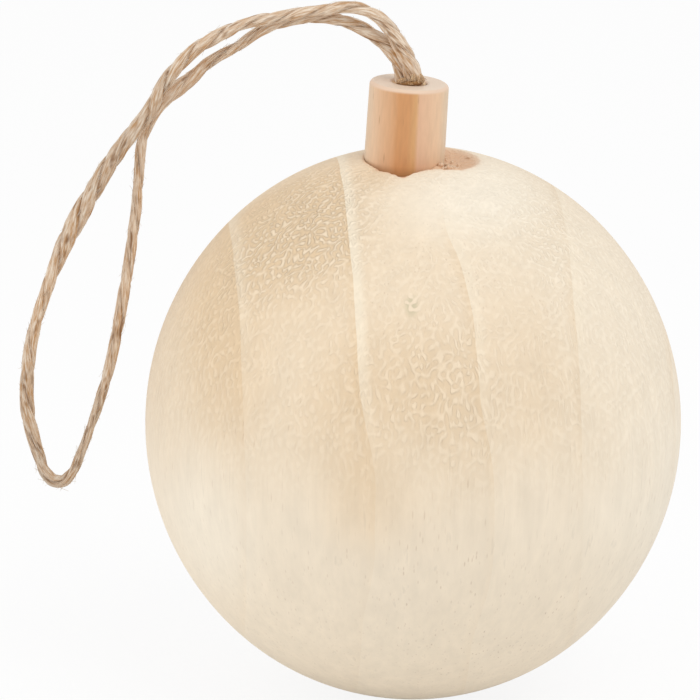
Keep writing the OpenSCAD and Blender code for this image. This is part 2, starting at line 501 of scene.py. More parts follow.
# How far a fibre leans along the twine, lifts off it and sways, in millimetres, and where its foot is.
fuzz_leans, fuzz_lifts, fuzz_sway = (0.8, 2.6), (0.1, 0.6), 0.3
fuzz_foot = 0.36
free_run = (twine_run > mouth_run + 1) & (twine_run < twine_run[-1] - mouth_run - 1)
headings, sides, others = carried_frame(twine_line)
fuzz_spines = []
for start in chance.choice(np.flatnonzero(free_run), fuzz_count):
    turn = chance.uniform(0, 2 * math.pi)
    out = math.cos(turn) * sides[start] + math.sin(turn) * others[start]
    across = np.cross(headings[start], out)
    lean = chance.uniform(*fuzz_leans) * chance.choice([-1, 1]) * headings[start]
    lift = chance.uniform(*fuzz_lifts) * out
    sway = chance.normal(0, fuzz_sway) * across
    foot = twine_line[start] + fuzz_foot * twine_thick[start] * out
    fuzz_spines.append(foot + fibre_steps * lean + fibre_steps**1.5 * lift + fibre_steps**2 * sway)
pale_jute = jute("jute_loose", "#c4a583", "#dcc8ad", "#d3b894", "#f1e7d8")
fuzz = fibre_piece("jute_fuzz", fuzz_spines, pale_jute, fuzz_thick)

# %% [markdown]
# Where the strands come out of the bore, their worn outer fibres have come loose and hang round the foot of
# the bundle as a frayed brown skirt, bunched on two sides. A short roll of twine gives it a body; it is
# coloured dark brown as painted shadow under the skirt. Loose fibres are draped over that, and a mat of the
# same fibres closes the bore round the strands.

# %% Roll at the mouth
roll_route = mouth + np.array([
    [-1.7, -1.7, 0.1], [-0.6, -2.1, 0.2], [0.6, -2.1, 0.3], [1.6, -1.6, 0.3], [2.1, -0.8, 0.4],
    [2.1, 0.2, 0.3],
])
roll_width, roll_tip, roll_blunt = 0.9, 0.06, 0.7
roll_line, roll_run = smooth_curve(roll_route, ring_step / 2)
roll_share = np.clip(roll_run / roll_run[-1], roll_tip, 1 - roll_tip)
roll_thick = roll_width * np.sin(math.pi * roll_share) ** roll_blunt
roll_points, roll_faces, roll_spread = twine_mesh(roll_line, roll_run, roll_thick)
# The roll is coloured dark brown as painted shadow under the skirt.
roll_shadow_jute = jute("jute_roll_shadow", "#452812", "#7c532e", "#64401d", "#a67c4c")
roll = make_piece("jute_roll", roll_points, roll_faces, roll_shadow_jute)
keep_fibres(roll, roll_spread)

# %% Skirt of frayed fibres
skirt_thick = 0.06
tuft_size = 24
# A bunch of the skirt: its strand's place beside the mouth's middle, a turn round that strand and a spread,
# in degrees, how high it starts, and how many tufts it has.
skirt_bunches = [(-0.1, -0.5, -118, 12, 0.8, 4), (0.1, -0.6, -88, 9, 0.7, 2), (0.5, -0.7, -38, 26, 1.5, 13)]
# How tufts differ: shares of the bunch's height, reaches and a curl. Then how the fibres of a tuft differ.
tuft_rises, tuft_reaches, tuft_curls = (0.6, 1.1), (0.5, 1.1), 0.35
fibre_turns, fibre_rises, fibre_curls = 0.09, 0.12, 0.12
fibre_reaches, fibre_falls, strand_edge = (0.7, 1.1), (0.35, 0.75), (0.9, 1.25)
skirt_spines = []
for beside, before, bunch_turn, spread, height, tuft_count in skirt_bunches:
    for tuft_turn in np.radians(chance.normal(bunch_turn, spread, tuft_count)):
        tuft_rise = height * chance.uniform(*tuft_rises)
        tuft_reach = chance.uniform(*tuft_reaches)
        tuft_curl = chance.normal(0, tuft_curls)
        for turn in tuft_turn + chance.normal(0, fibre_turns, tuft_size):
            out = np.array([math.cos(turn), math.sin(turn), 0])
            across = np.array([-math.sin(turn), math.cos(turn), 0])
            rise = tuft_rise + chance.normal(0, fibre_rises)
            foot = mouth + [beside, before, rise] + chance.uniform(*strand_edge) * out
            lean = tuft_reach * chance.uniform(*fibre_reaches) * out
            lean = lean + (tuft_curl + chance.normal(0, fibre_curls)) * across
            fall = np.array([0, 0, chance.uniform(*fibre_falls) * rise])
            skirt_spines.append(foot + fibre_steps * lean - fibre_steps**2 * fall)
frayed_jute = jute("jute_frayed", "#8a5a30", "#dbb181", "#c59258", "#f6dfbb")
skirt = fibre_piece("jute_skirt", skirt_spines, frayed_jute, skirt_thick)

# %% Mat in the bore
mat_rings, mat_sides = 14, 64
mat_depth, mat_rough = 0.22, 0.12
mat_reach, mat_hole = 2.62, 0.05
mat_streaks = (2.5, 2.5, 1)
mat_points = []
for mat_r in np.linspace(mat_reach, mat_hole, mat_rings):
    for turn in full_turn(mat_sides):
        level = neck_long - mat_depth + chance.uniform(-mat_rough, mat_rough)
        mat_points.append(on_neck(mat_r * math.cos(turn), mat_r * math.sin(turn), level))
mat_faces = ring_faces(mat_rings, mat_sides, caps=False)
mat = make_piece("jute_mat", mat_points, mat_faces, frayed_jute)
keep_fibres(mat, (np.array(mat_points) - mouth) * mat_streaks)

# %% [markdown]
# ## The knot
# The two ends are tied together under the dowel's bore, where a wider recess hides the knot. Nobody sees it,
# but without it the loop would pull out. It is an overhand knot, whose middle is a trefoil, so the same
# two-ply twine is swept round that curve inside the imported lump's space.

# %% Knot in the recess
knot_r = 3.5
knot_h = 5.5
knot_twine = 1.7
knot_steps = 61
trefoil_r = (knot_r - knot_twine / 2) / 3
trefoil_h = (knot_h - knot_twine) / 2
turns = np.linspace(0, 2 * math.pi, knot_steps)
knot_curve = np.stack([
    trefoil_r * (np.sin(turns) + 2 * np.sin(2 * turns)),
    trefoil_r * (np.cos(turns) - 2 * np.cos(2 * turns)),
    shoulder_h - knot_h / 2 - trefoil_h * np.sin(3 * turns),
], axis=1)
knot_line, knot_run = smooth_curve(np.array([on_neck(*p) for p in knot_curve]), ring_step)
knot_points, knot_faces, knot_spread = twine_mesh(knot_line, knot_run, np.full(len(knot_run), knot_twine))
knot = make_piece("jute_knot", knot_points, knot_faces, spun_jute, node="cord_knot")
keep_fibres(knot, knot_spread)

# %% [markdown]
# ## The ball
# The ball was turned on a lathe with the grain along its axis, and sanding left it three millimetres taller
# than it is wide. Its outline is an oval of tangent arcs, turned round the axis. A sphere scaled in height
# would be too pointed at the poles. The socket was drilled dry, so its edge is torn, most of all in front:
# the last rings before the edge are pulled out and down by seeded chips.

# %% Outline of the ball
ball_sides = 384
ring_gap = 0.8
arc_shift = (ball_tall - ball_across) / 2 / (2 - math.sqrt(2))
cap_r = ball_tall / 2 - arc_shift
waist_r = ball_across / 2 + arc_shift
quarter = math.pi / 4


def arc(centre_r, centre_z, radius, start, stop):
    """Places along an arc of the outline, as radius and height."""
    angles = np.linspace(start, stop, math.ceil(radius * (stop - start) / ring_gap), endpoint=False)
    return np.stack([centre_r + radius * np.cos(angles), centre_z + radius * np.sin(angles)], axis=1)


def cap_height(radius):
    """Height of the upper cap at a distance from the axis."""
    return ball_tall - cap_r + np.sqrt(cap_r**2 - radius**2)


tear_start_r = 12.5
outline = np.vstack([
    arc(0, cap_r, cap_r, -2 * quarter, -quarter),
    arc(-arc_shift, ball_tall / 2, waist_r, -quarter, quarter),
    arc(0, ball_tall - cap_r, cap_r, quarter, math.acos(tear_start_r / cap_r)),
])
print(f"outline: {len(outline)} rings, {outline[:, 0].max() * 2:.1f} mm across")

# %% Torn edge
around = full_turn(ball_sides)
torn_turn, chip_turn, lip_turn, dowel_turn = np.radians([-118, -104, -73, 180])
# Marks round the rim: a turn, a half width along the rim, and how far out the edge lies there. They are the
# torn side, one deep chip in it, a lip that the drill left standing, and the side pressed by the dowel.
rim_marks = [(torn_turn, 3.2, 0.8), (chip_turn, 0.75, 1.2), (lip_turn, 3, -1.4), (dowel_turn, 4, -0.28)]
front_wide = 5
tooth_heights, tooth_widths = (0.2, 1), (0.2, 0.6)
tooth_count, tooth_high = 110, 0.28
calm_share, torn_share = 0.05, 0.7


def bump_at(centre, half_width):
    """A smooth bump round the rim, at an angle and over a half width in millimetres of arc."""
    gap = (around - centre + math.pi) % (2 * math.pi) - math.pi
    return np.exp(-((gap * socket_r / half_width) ** 2))


def rough_ring(count, height):
    """Seeded teeth all round the rim, as many narrow bumps that add up."""
    teeth = np.zeros(ball_sides)
    for _ in range(count):
        tall = chance.uniform(*tooth_heights) * height
        turn = chance.uniform(0, 2 * math.pi)
        teeth += tall * bump_at(turn, chance.uniform(*tooth_widths))
    return teeth


def ring_at(centre_x, radius, height):
    """One level ring of the ball's mesh."""
    level = np.broadcast_to(height, around.shape)
    return np.stack([centre_x + radius * np.cos(around), radius * np.sin(around), level], 1)


front = np.clip(bump_at(torn_turn, front_wide) + bump_at(lip_turn, front_wide), 0, 1)
tear = rough_ring(tooth_count, tooth_high) * (calm_share + torn_share * front)
for turn, half_width, out in rim_marks:
    tear += out * bump_at(turn, half_width)
edge_inset = 0.05
edge_r = socket_r - edge_inset + tear
print(f"edge of the socket lies {edge_r.min():.2f} to {edge_r.max():.2f} mm off the axis")

# %% [markdown]
# Inside the edge, a torn wall slopes in where the dowel leaves room. Below it, torn wood and glue fill the
# gap and slope down to the dowel, except where they were pushed up into a small heap at the front. Each ring
# also keeps how torn its wood is, from 0 to 1, for the colour.

# %% Socket and bed
tear_steps, wall_steps, bed_steps, foot_steps = 14, 8, 9, 5
edge_droop = 0.1
wall_near, wall_far, wall_room = 0.15, 0.7, 2
wall_teeth, bed_teeth = (40, 0.1), (60, 0.2)
bed_top, bed_low, bed_sag = 0.4, 1.3, 0.25
heap_turn = math.radians(-38)
heap_high, heap_wide = 1.3, 2.6
neck_fit = 0.03

ball_rings = [ring_at(0, r, z) for r, z in outline]
torn = [0.0 for _ in outline]
for share in np.linspace(0, 1, tear_steps):
    radius = tear_start_r + (edge_r - tear_start_r) * share
    ball_rings.append(ring_at(0, radius, cap_height(radius) - edge_droop * share**8))
    torn.append(0.5 * share**12)
edge_z = ball_rings[-1][:, 2]
bed_z = edge_z.mean() - bed_low
bed_x = neck_x + (bed_z - socket_floor) * math.tan(neck_lean)
room = np.hypot(edge_r * np.cos(around) - bed_x, edge_r * np.sin(around)) - neck_r
wall_in = wall_near + wall_far * np.clip(room / wall_room, 0, 1)
for share in np.linspace(0, 1, wall_steps)[1:]:
    wall_r = edge_r - (wall_in + rough_ring(*wall_teeth)) * share
    ball_rings.append(ring_at(0, wall_r, edge_z - bed_top * share))
    torn.append(0.5 + 0.5 * share)
bed_edge = ball_rings[-1]
bed_foot = ring_at(bed_x, neck_r + neck_fit, bed_z)
bed_first = len(ball_rings)
for share in np.linspace(0, 1, bed_steps)[1:]:
    bed = bed_edge + (bed_foot - bed_edge) * share
    bed[:, 2] += (rough_ring(*bed_teeth) - bed_sag) * math.sin(math.pi * share)
    bed[:, 2] += heap_high * bump_at(heap_turn, heap_wide) * share
    ball_rings.append(bed)
    torn.append(1.0)
for share in np.linspace(0, 1, foot_steps)[1:]:
    foot_x = bed_x + (neck_x - bed_x) * share
    ball_rings.append(ring_at(foot_x, neck_r + neck_fit, bed_z + (socket_floor - bed_z) * share))
    torn.append(1.0)
for share in (0.66, 0.33):
    ball_rings.append(ring_at(neck_x, neck_r * share, socket_floor))
    torn.append(1.0)
print(f"ball: {len(ball_rings)} rings, {len(ball_rings) - bed_first} of them on the bed and the floor")

# %% [markdown]
# ## Paulownia
# Paulownia grows fast: its growth rings are some 16 mm wide and its wood is pale and very light. Each ring
# starts with a band of large pores, tan and slightly pink, and ends in smooth cream wood with a light line.
# The pith lies far outside this small ball, so the rings cross it as nearly flat layers: a distance along
# one slanted direction gives the ring pattern in three dimensions, and the lines bend over the ball by
# themselves. Where the sanded surface cuts the pores at a slant they show as a worm-like figure, pressed a
# little in.

# %% Places on the wood
ring_tilt = (1, 0.08, 0.042)
ring_width = 16.2
first_ring = -8.8
bold_ring = -1
ring_wander, wander_size = 1.2, 20
# Where the layers bend: a middle, a reach each way, and a shift across the rings, all in millimetres.
ring_bends = [
    ((3, -17, 79), (10, 13, 10), 2.2),
    ((8, -33, 63), (9, 10, 9), -0.8),
    ((11, -38, 38), (12, 14, 20), -2.8),
    ((-6, -39, 38), (10, 12, 16), -1.8),
]
# Soft oval places: a middle, a reach each way, and how much browner the wood is there.
tan_places = [
    ((-24, -10, 72), (21, 23, 20), 0.31),
    ((-27, -19, 55), (8, 30, 11), 0.21),
    ((-6, -34, 41), (9, 8, 10), 0.38),
    ((-3, -35, 49), (14, 7, 20), 0.25),
    ((5, -5, 78), (14, 21, 7), -0.49),
    ((-30, -25, 31), (9, 22, 13), -0.19),
    ((-6, -8, 80), (4, 6, 4), 0.28),
    ((-24, -5, 74.5), (5, 7, 5), 0.22),
    ((22, -10, 55), (36, 26, 39), -0.42),
    ((15, -31, 60), (9, 12, 15), 0.13),
]
# The same for the strength of the worm-like figure.
figure_places = [
    ((-18, -14, 74), (15, 15, 13), 1.6),
    ((-28, -20, 62), (8, 12, 13), 0.3),
    ((3, -37, 57), (13, 10, 12), 0.4),
    ((-8, -38, 50), (6, 8, 12), 0.12),
    ((19, -13, 74), (8, 12, 8), 0.2),
    ((-2, -18, 78), (9, 10, 7), -0.35),
    ((16, 30, 58), (17, 14, 17), 0.5),
    ((-20, 28, 62), (16, 14, 16), 0.5),
]
# The same for a small green-grey stain, and for coarser ticks.
stain_places = [((-1, -30.9, 67.6), (1.1, 1.8, 2.0), 0.55)]
coarse_places = [((12, -33, 24), (24, 18, 24), 0.8)]
# Where the surface runs along a ring, its edge fades out.
faded_places = [
    ((-27, -29, 46), (9, 13, 15), -0.75),
    ((4, -10, 80), (9, 16, 8), -0.95),
    ((24, -8, 70), (9, 14, 12), -0.6),
    ((26, -28, 40), (9, 13, 15), -0.6),
]
print(len(tan_places), "browner or paler places,", len(figure_places), "figured ones")


# %% Soft places and growth rings
def soft_places(tree, place, total, places):
    """Adds soft oval places to a value: full in the middle, and gone a little outside the reach."""
    for middle, reach, strength in places:
        off = add(tree, "VectorMath", {0: place, 1: middle}, operation="SUBTRACT")
        off = add(tree, "VectorMath", {0: off, 1: reach}, operation="DIVIDE")
        far = add(tree, "VectorMath", {0: off}, operation="LENGTH")
        limits = {"From Min": 1.25, "From Max": 0.25, "To Max": strength}
        spot = add(tree, "MapRange", {"Value": far, **limits}, interpolation_type="SMOOTHSTEP")
        total = add(tree, "Math", {0: total, 1: spot}, operation="ADD")
    return total


def growth_rings(tree, place, wander):
    """A value that grows by one from ring to ring. Rings wander, as a real trunk is never quite round."""
    off = add(tree, "VectorMath", {0: wander.outputs["Color"], 1: (0.5, 0.5, 0.5)}, operation="SUBTRACT")
    bent = add(tree, "VectorMath", {0: off, 1: [ring_wander] * 3, 2: place}, operation="MULTIPLY_ADD")
    across = add(tree, "VectorMath", {0: bent, 1: ring_tilt}, operation="DOT_PRODUCT")
    across = soft_places(tree, place, across, ring_bends)
    rings = add(tree, "Math", {0: first_ring, 1: across}, operation="SUBTRACT")
    return add(tree, "Math", {0: rings, 1: ring_width}, operation="DIVIDE")


def ring_lines(tree, rings, texture, *weaker):
    """A light line closes each ring, bold on one, and shows least where the surface runs along the grain."""
    slant = add(tree, "SeparateXYZ", {0: texture.outputs["Normal"]}).outputs["Z"]
    slant = add(tree, "Math", {0: slant}, operation="ABSOLUTE")
    slant = add(tree, "MapRange", {"Value": slant, "From Min": 0.1, "From Max": 0.6})
    number = add(tree, "Math", {0: rings}, operation="FLOOR")
    bold = add(tree, "Math", {0: number, 1: bold_ring, 2: 0.5}, operation="COMPARE")
    bold = add(tree, "MapRange", {"Value": bold, "To Min": 0.36, "To Max": 0.8})
    ring = add(tree, "Math", {0: rings}, operation="FRACT")
    limits = {"From Min": 0.86, "From Max": 0.97}
    line = add(tree, "MapRange", {"Value": ring, **limits}, interpolation_type="SMOOTHSTEP")
    for share in (slant, bold, *weaker):
        line = add(tree, "Math", {0: line, 1: share}, operation="MULTIPLY")
    return line


print("rings are", ring_width, "mm wide")

# %% Worm-like figure
worm_gap = 0.82
worm_waves = 12
worm_warp, warp_size = 2.2, 4
grain_stretch = 1.9
groove_level, ridge_level = -0.9, 1.5


def worm_figure(tree, place):
    """Pores cut at a slant: soft pale ridges wind between browner grooves, from -1 to 1. Waves of one length
    that run every way add up to such a figure, and a slow warp keeps it from repeating."""
    warp = add(tree, "TexNoise", {"Vector": place, "Scale": 1 / warp_size, "Detail": 1.0}).outputs["Color"]
    warped = add(tree, "VectorMath", {0: warp, 1: [worm_warp] * 3, 2: place}, operation="MULTIPLY_ADD")
    warped = add(tree, "VectorMath", {0: warped, 1: (1, 1, 1 / grain_stretch)}, operation="MULTIPLY")
    golden_angle = math.pi * (3 - math.sqrt(5))
    waves = 0.0
    for n in range(worm_waves):
        rise = (2 * n + 1) / worm_waves - 1
        flat = math.sqrt(1 - rise**2)
        heading = np.array([flat * math.cos(n * golden_angle), flat * math.sin(n * golden_angle), rise])
        heading = heading * 2 * math.pi / worm_gap
        wave = add(tree, "VectorMath", {0: warped, 1: heading}, operation="DOT_PRODUCT")
        wave = add(tree, "Math", {0: wave}, operation="SINE")
        waves = add(tree, "Math", {0: waves, 1: wave}, operation="ADD")
    usual = math.sqrt(worm_waves / 2)
    limits = {"From Min": groove_level * usual, "From Max": ridge_level * usual, "To Min": -1.0}
    return add(tree, "MapRange", {"Value": waves, **limits}, interpolation_type="SMOOTHSTEP")


print(worm_waves, "waves of", worm_gap, "mm make the figure")

# %% Paulownia material
browner_from, browner_to, browner_wander = 39, 62, 14.0
streak_width, streak_stretch = 0.45, 24
mottle_size, mottle_stretch = 2.6, 2.5
vessel_gap, vessel_stretch = 0.55, 7
usual_figure, figure_pale = 0.42, -0.12
cream, tan_wood, light_line = "#f2e7d4", "#e2c8a5", "#f2e5ce"
green_grey, vessel_brown, torn_brown = "#b5b08f", "#9c7450", "#dfbb9b"


def paulownia():
    """Turned, sanded with fine paper and left raw: no film lies on it, so it is matt and its pores show."""
    material, tree = new_material("paulownia_sanded")
    texture, place = object_place(tree)
    wander = add(tree, "TexNoise", {"Vector": place, "Scale": 1 / wander_size, "Detail": 3.0})
    rings = growth_rings(tree, place, wander)
    ring = add(tree, "Math", {0: rings}, operation="FRACT")
    limits = {"From Min": 0.05, "From Max": 0.8, "To Min": 1.0, "To Max": 0.0}
    early = add(tree, "MapRange", {"Value": ring, **limits}, interpolation_type="SMOOTHSTEP")
    # The upper half is browner, with an uneven edge.
    height = add(tree, "SeparateXYZ", {0: place}).outputs["Z"]
    uneven = add(tree, "Math", {0: wander, 1: browner_wander, 2: height}, operation="MULTIPLY_ADD")
    limits = {"From Min": browner_from, "From Max": browner_to}
    upper = add(tree, "MapRange", {"Value": uneven, **limits}, interpolation_type="SMOOTHSTEP")
    tan = add(tree, "MapRange", {"Value": upper, "To Min": 0.24, "To Max": 0.59})
    tan = soft_places(tree, place, tan, tan_places)
    early_tan = add(tree, "MapRange", {"Value": early, "To Min": 0.96, "To Max": 1.08})
    tan = add(tree, "Math", {0: tan, 1: early_tan}, operation="MULTIPLY")
    # Each ring starts with a browner edge, broken here and there.
    edge = add(tree, "MapRange", {"Value": ring, "From Max": 0.09, "To Min": 0.24, "To Max": 0.0})
    faint = add(tree, "MapRange", {"Value": upper, "To Min": 0.3})
    broken = add(tree, "MapRange", {"Value": wander, "From Min": 0.35, "From Max": 0.6, "To Min": 0.4})
    unfaded = soft_places(tree, place, 1.0, faded_places)
    for weaker in (faint, unfaded, broken):
        edge = add(tree, "Math", {0: edge, 1: weaker}, operation="MULTIPLY")
    tan = add(tree, "Math", {0: tan, 1: edge}, operation="ADD")
    figure = add(tree, "Math", {0: upper, 1: usual_figure}, operation="MULTIPLY")
    figure = soft_places(tree, place, figure, figure_places)
    early_figure = add(tree, "MapRange", {"Value": early, "To Min": 0.85, "To Max": 1.05})
    figure = add(tree, "Math", {0: figure, 1: early_figure}, operation="MULTIPLY")
    worms = worm_figure(tree, place)
    worm_mark = add(tree, "Math", {0: worms, 1: figure}, operation="MULTIPLY")
    tan = add(tree, "Math", {0: worm_mark, 1: figure_pale, 2: tan}, operation="MULTIPLY_ADD")
    lines = ring_lines(tree, rings, texture, upper, unfaded)
    # The stain lies between the ridges, which were sanded clean.
    stain = add(tree, "MapRange", {"Value": worms, "From Min": 0.7, "From Max": -0.3})
    stain_place = soft_places(tree, place, 0.0, stain_places)
    stain = add(tree, "Math", {0: stain, 1: stain_place}, operation="MULTIPLY")
    # Single vessels, cut along their length, are short brown ticks up the grain. They are finer than a pixel,
    # so they are drawn a little wide.
    ticks = grain_ticks(tree, place, vessel_gap, vessel_stretch, edge=0.26, core=0.12, spared=0.3, depth=0.19)
    limits = {"From Min": 0.4, "From Max": 0.6, "To Min": 0.4, "To Max": 1.2}
    clusters = add(tree, "MapRange", {"Value": wander, **limits})
    for stronger in (clusters, soft_places(tree, place, 1.0, coarse_places)):
        ticks = add(tree, "Math", {0: ticks, 1: stronger}, operation="MULTIPLY")
    colour = cream
    for share, over in ((tan, tan_wood), (lines, light_line), (stain, green_grey), (ticks, vessel_brown)):
        colour = add(tree, "Mix", {0: share, 6: colour, 7: over}, data_type="RGBA")
    # The figure's ridges are painted lighter and its pressed-in grooves darker, as painted light and shade of
    # the relief. Sanding and drying leave the wood streaked and softly mottled along the grain, and a few
    # vessels run on
    # for a centimetre as thin dark lines: where each starts and stops, and the share of light at both ends.
    streaks = grain_noise(tree, place, 0.5 / streak_width, streak_stretch, detail=3.0)
    mottles = grain_noise(tree, place, 1 / mottle_size, mottle_stretch)
    for mark, start, stop, low, high in (
        (worm_mark, -1.0, 1.0, 0.97, 1.055), (streaks, 0.25, 0.75, 0.966, 1.034),
        (mottles, 0.25, 0.75, 0.967, 1.033), (streaks, 0.63, 0.72, 1.0, 0.91),
    ):
        limits = {"From Min": start, "From Max": stop, "To Min": low, "To Max": high}
        shade = add(tree, "MapRange", {"Value": mark, **limits})
        colour = add(tree, "VectorMath", {0: colour, "Scale": shade}, operation="SCALE")
    torn_wood = add(tree, "Attribute", attribute_name="torn").outputs["Fac"]
    colour = add(tree, "Mix", {0: torn_wood, 6: colour, 7: torn_brown}, data_type="RGBA")
    relief = add(tree, "Math", {0: streaks, 1: 0.5, 2: worm_mark}, operation="MULTIPLY_ADD")
    relief = add(tree, "Bump", {"Height": relief, "Strength": 0.7, "Distance": 0.12 * MM})
    surface = add(tree, "BsdfPrincipled", {
        "Base Color": colour, "Normal": relief, "Roughness": 0.62, "IOR": 1.5, "Specular IOR Level": 0.35,
    })
    add(tree, "OutputMaterial", {"Surface": surface})
    return material


# %% Ball mesh
def ball_mesh():
    """Points and faces of the ball: one point at the lower pole, the rings, one at the socket's middle."""
    rings = ball_rings[1:]
    points = np.vstack([[[0, 0, 0]], *rings, [[neck_x, 0, socket_floor]]])
    faces = ring_faces(len(rings), ball_sides, first=1, caps=False)
    last = 1 + (len(rings) - 1) * ball_sides
    for k in range(ball_sides):
        after = (k + 1) % ball_sides
        faces.append([0, 1 + after, 1 + k])
        faces.append([last + k, last + after, len(points) - 1])
    return points, faces


ball_points, ball_faces = ball_mesh()
ball = make_piece("paulownia_ball", ball_points, ball_faces, paulownia(), node="ball")
keep_number(ball, "torn", np.concatenate([[0], np.repeat(torn[1:], ball_sides), [1]]))

# %% [markdown]
# ## Crumbs
# The drill left crumbs of torn wood in the socket, most of them at the dowel's right side. Each is a
# small lumpy ball that sits on the bed, drawn from the same rings as everything else.

# %% Crumbs beside the dowel
crumb_count = 30
crumb_rings, crumb_sides = 5, 8
crumb_sizes, crumb_lumps, crumb_shapes = (0.15, 0.42), (0.7, 1.25), (0.6, 1.3)
crumb_cap, crumb_lift = 0.3, 0.4
crumb_turn, crumb_spread = -16, 26
crumb_bed_rings = (3, 8)
crumb_torn = (0.55, 0.9)


def crumb(middle, size):
    """The points of one lumpy crumb as rings."""
    lumps = chance.uniform(*crumb_lumps, (crumb_rings, crumb_sides))
    down = np.linspace(crumb_cap, math.pi - crumb_cap, crumb_rings)[:, None]
    turn = full_turn(crumb_sides)[None, :]
    shape = np.stack([np.sin(down) * np.cos(turn), np.sin(down) * np.sin(turn), np.cos(down) + 0 * turn], -1)
    return middle + shape * lumps[:, :, None] * size * chance.uniform(*crumb_shapes, 3)


crumb_points = []
for _ in range(crumb_count):
    bed_ring = ball_rings[bed_first + chance.integers(*crumb_bed_rings)]
    turn = math.radians(chance.normal(crumb_turn, crumb_spread))
    spot = bed_ring[round(turn / (2 * math.pi) * ball_sides) % ball_sides]
    size = chance.uniform(*crumb_sizes)
    crumb_points.append(crumb(spot + [0, 0, crumb_lift * size], size))
crumb_size = crumb_rings * crumb_sides
crumb_firsts = range(0, crumb_count * crumb_size, crumb_size)
crumb_faces = [face for first in crumb_firsts for face in ring_faces(crumb_rings, crumb_sides, first)]
crumbs = make_piece("paulownia_crumbs", crumb_points, crumb_faces, ball.data.materials[0])
keep_number(crumbs, "torn", np.repeat(chance.uniform(*crumb_torn, crumb_count), crumb_size))

# %% [markdown]
# ## The dowel neck
# The neck is a piece of turned beech dowel. It is a revolved outline: the outer wall, a rounded top edge, a
# flat end, a bevelled bore for the twine and, below, the wider recess for the knot. Its own object leans, so
# its texture runs along the dowel, and its foot is cut level with the socket's floor.

# %% Dowel mesh
neck_sides = 128
neck_edge_r = 0.7
bore_r = 2.6
mouth_bevel = 0.3
recess_r = 4.0
wall_rings, edge_rings, top_rings, bore_rings = 30, 9, 7, 12
edge_turns = np.linspace(0, math.pi / 2, edge_rings)
neck_outline = np.vstack([
    [[neck_r, h] for h in np.linspace(0, neck_long - neck_edge_r, wall_rings)],
    [[neck_r - neck_edge_r * (1 - math.cos(t)), neck_long - neck_edge_r * (1 - math.sin(t))]
     for t in edge_turns[1:]],
    [[r, neck_long] for r in np.linspace(neck_r - neck_edge_r, bore_r + mouth_bevel, top_rings)[1:]],
    [[bore_r, h] for h in np.linspace(neck_long - mouth_bevel, shoulder_h, bore_rings)],
    [[recess_r, shoulder_h]],
    [[recess_r, 0]],
])
neck_turns = full_turn(neck_sides)
# The saw's slant shows only near the top, so it fades with a high power of the height.
top_cut, top_cut_power = math.radians(1.3), 6
taper = 0.025
top_drift = 0.18


def neck_point(r, h, turn):
    """A point of the dowel, which tapers and drifts a little upwards and was sawn off at a slant."""
    up = h / neck_long
    x, y = r * math.cos(turn) * (1 - taper * up), r * math.sin(turn) * (1 - taper * up)
    if h == 0:
        return [x, y, x * math.tan(neck_lean)]
    return [x + top_drift * up, y, h - x * math.tan(top_cut) * up**top_cut_power]


neck_points = np.array([[neck_point(r, h, t) for t in neck_turns] for r, h in neck_outline])
neck_faces = ring_faces(len(neck_outline), neck_sides, joined=True)
print(f"dowel: {len(neck_outline)} rings, {neck_long:.1f} mm long")

# %% [markdown]
# ## Beech
# Beech is a close, even wood: pinkish tan with a browner heart, and covered in short fine flecks along the
# grain. This dowel was cut across the heart, so a band of orange brown runs up its middle between paler
# sides. Cut across, on the flat top, the same wood looks greyer and pinker.

# %% Beech material
grey_sapwood, sapwood, pink_wood = "#e0c8ab", "#e7c4a2", "#e1b695"
heart, heart_edge = "#d09765", "#d6a571"
# Bands of wood across the dowel from its left side: a share of the width, and a colour.
wood_bands = [
    (0.1, sapwood), (0.38, heart), (0.52, heart), (0.62, heart_edge), (0.66, pink_wood), (0.9, sapwood),
]
band_wander, band_wander_size, band_wander_stretch = 1.6, 2.857, 8.333
fleck_width, fleck_stretch = 0.24, 6
ray_gap, ray_stretch = 0.9, 7
foot_top, foot_dark = 6.1, 4.5
# The foot's brown stands for glue and painted shadow.
ray_brown, glue_and_shadow_brown, edge_highlight, end_grain = "#9a6a42", "#84623a", "#e6c9b0", "#e4cfba"


